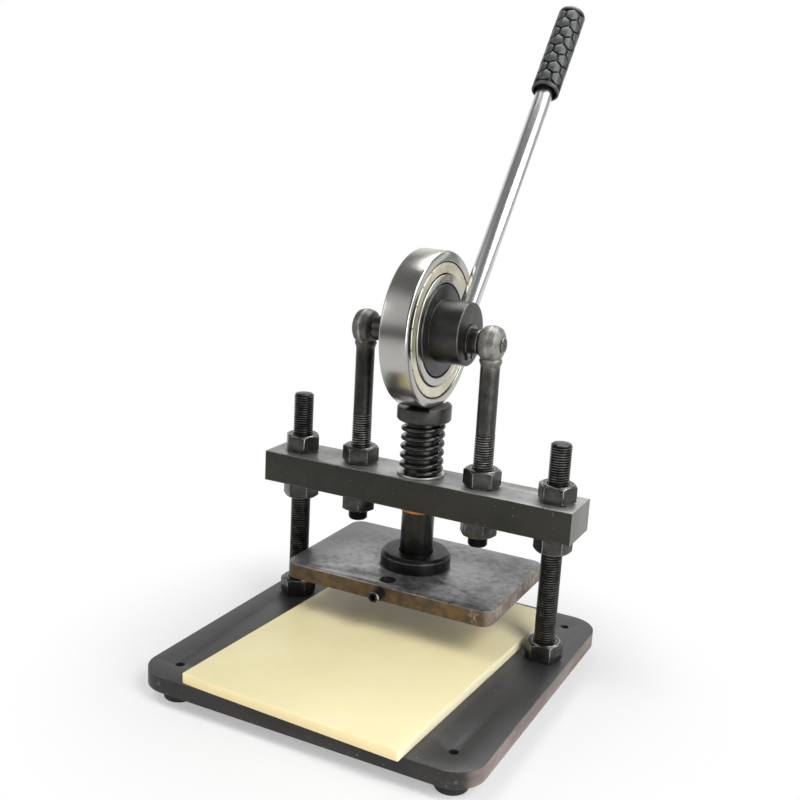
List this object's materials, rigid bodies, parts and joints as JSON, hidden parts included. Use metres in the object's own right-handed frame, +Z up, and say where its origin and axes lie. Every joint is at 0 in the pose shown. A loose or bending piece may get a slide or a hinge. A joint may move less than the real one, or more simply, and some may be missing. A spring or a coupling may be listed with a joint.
{
  "type": "manual die cutting machine",
  "caption": "Bench die cutting machine: a hand lever turns an eccentric ball bearing that presses a sprung ram and plate down onto a cutting board.",
  "frame": {"origin": "on the bench, in the middle of the four bench bolt holes under the base plate", "axes": "+Z up, +X along the crossbeam to the operator's right, +Y to the back, where the lever leans at rest"},
  "size_m": [0.275, 0.4057, 0.5404],
  "materials": {
    "base_steel": "dark mill scale with pale scuffs",
    "foot_rubber": "matte",
    "thread_steel": "black oxide",
    "nut_steel": "black oxide with worn edges",
    "beam_steel": "satin dark scale",
    "bronze": "turned bronze",
    "shaft_steel": "turned, dark",
    "ring_steel": "bright spring steel",
    "hub_steel": "black oxide, satin",
    "lever_chrome": "polished chrome",
    "grip_rubber": "matte moulded rubber",
    "bearing_steel": "ground steel",
    "shield_zinc": "pressed, zinc plated",
    "cage_steel": "pressed steel",
    "ram_steel": "black oxide, turned",
    "washer_zinc": "zinc plated",
    "spring_steel": "oiled black",
    "plate_steel": "mill scale with rusty edges",
    "screw_steel": "black oxide",
    "board_plastic": "smooth matte"
  },
  "bodies": {
    "frame": {"base_plate": "base_steel", "rubber_feet": "foot_rubber", "column_left": "thread_steel", "column_right": "thread_steel", "base_nuts": "nut_steel", "beam_lower_nuts": "nut_steel", "beam_upper_nuts": "nut_steel", "crossbeam": "beam_steel", "ram_bushing": "bronze", "eye_bolt_left": "thread_steel", "eye_bolt_right": "thread_steel", "eye_bolt_upper_nuts": "nut_steel", "eye_bolt_lower_nuts": "nut_steel", "cam_shaft": "shaft_steel", "retaining_rings": "ring_steel", "spring_washer": "washer_zinc", "return_spring": "spring_steel"},
    "cam": {"eccentric_hub": "hub_steel", "bearing_inner_ring": "bearing_steel", "lever_rod": "lever_chrome", "lever_grip": "grip_rubber"},
    "bearing_outer": {"bearing_outer_ring": "bearing_steel", "bearing_shield_left": "shield_zinc", "bearing_shield_right": "shield_zinc"},
    "bearing_train": {"bearing_cage": "cage_steel", "bearing_balls": "bearing_steel"},
    "ram": {"ram_cap": "ram_steel", "ram_shaft": "ram_steel", "ram_flange": "ram_steel", "press_plate": "plate_steel", "plate_screws": "screw_steel"},
    "clamp_screw": {"die_clamp_screw": "screw_steel"},
    "board": {"cutting_board": "board_plastic"}
  },
  "joints": [
    {"name": "lever_turn", "type": "hinge", "parent": "frame", "child": "cam", "pos_m": [0, 0.051, 0.2707], "axis": [1, 0, 0], "range_deg": [0, 115]},
    {"name": "ram_slide", "type": "slide", "parent": "frame", "child": "ram", "axis": [0, 0, -1], "range_m": [0, 0.0089], "stiffness_N_per_m": 16000, "springref_m": -0.005, "deforming": ["return_spring"]},
    {"name": "bearing_spin", "type": "hinge", "parent": "cam", "child": "bearing_outer", "pos_m": [0, 0.04958, 0.27601], "axis": [1, 0, 0], "continuous": true},
    {"name": "cage_spin", "type": "hinge", "parent": "cam", "child": "bearing_train", "pos_m": [0, 0.04958, 0.27601], "axis": [1, 0, 0], "continuous": true},
    {"name": "clamp_screw_travel", "type": "slide", "parent": "ram", "child": "clamp_screw", "axis": [0, 1, 0], "range_m": [0, 0.005]},
    {"name": "board_slide", "type": "slide", "parent": "frame", "child": "board", "axis": [0, -1, 0], "range_m": [0, 0.22]}
  ],
  "couplings": [
    {"joint": "ram_slide", "follows": "lever_turn", "m_per_rad": 0.004412},
    {"joint": "cage_spin", "follows": "bearing_spin", "ratio": 0.5859}
  ]
}
